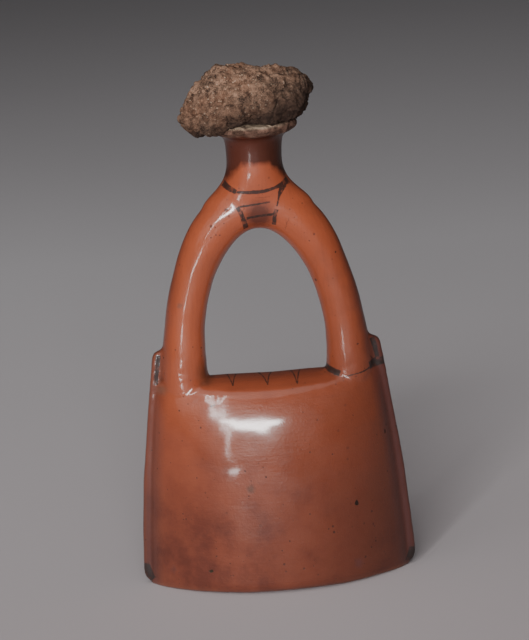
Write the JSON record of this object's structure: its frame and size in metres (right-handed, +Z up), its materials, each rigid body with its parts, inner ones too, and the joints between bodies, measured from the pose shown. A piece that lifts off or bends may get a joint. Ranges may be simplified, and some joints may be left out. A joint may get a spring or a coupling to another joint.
{
  "type": "bag-shaped flask",
  "caption": "Hollow pottery flask shaped like a flat-footed bag, with an arched handle that is also the way to its neck, closed by a lump of dried mud.",
  "frame": {"origin": "middle of the flat foot, on the surface that the flask stands on", "axes": "+Z up through the neck, +X along the bag to the right end of the pictured side, +Y away from that side towards the back"},
  "size_m": [0.1028, 0.049, 0.194],
  "materials": {
    "pottery": "burnished red-brown slip with black painted lines",
    "mud": "rough, dry and grainy"
  },
  "bodies": {
    "root": {"flask": "pottery", "mud_stopper": "mud"}
  },
  "joints": []
}
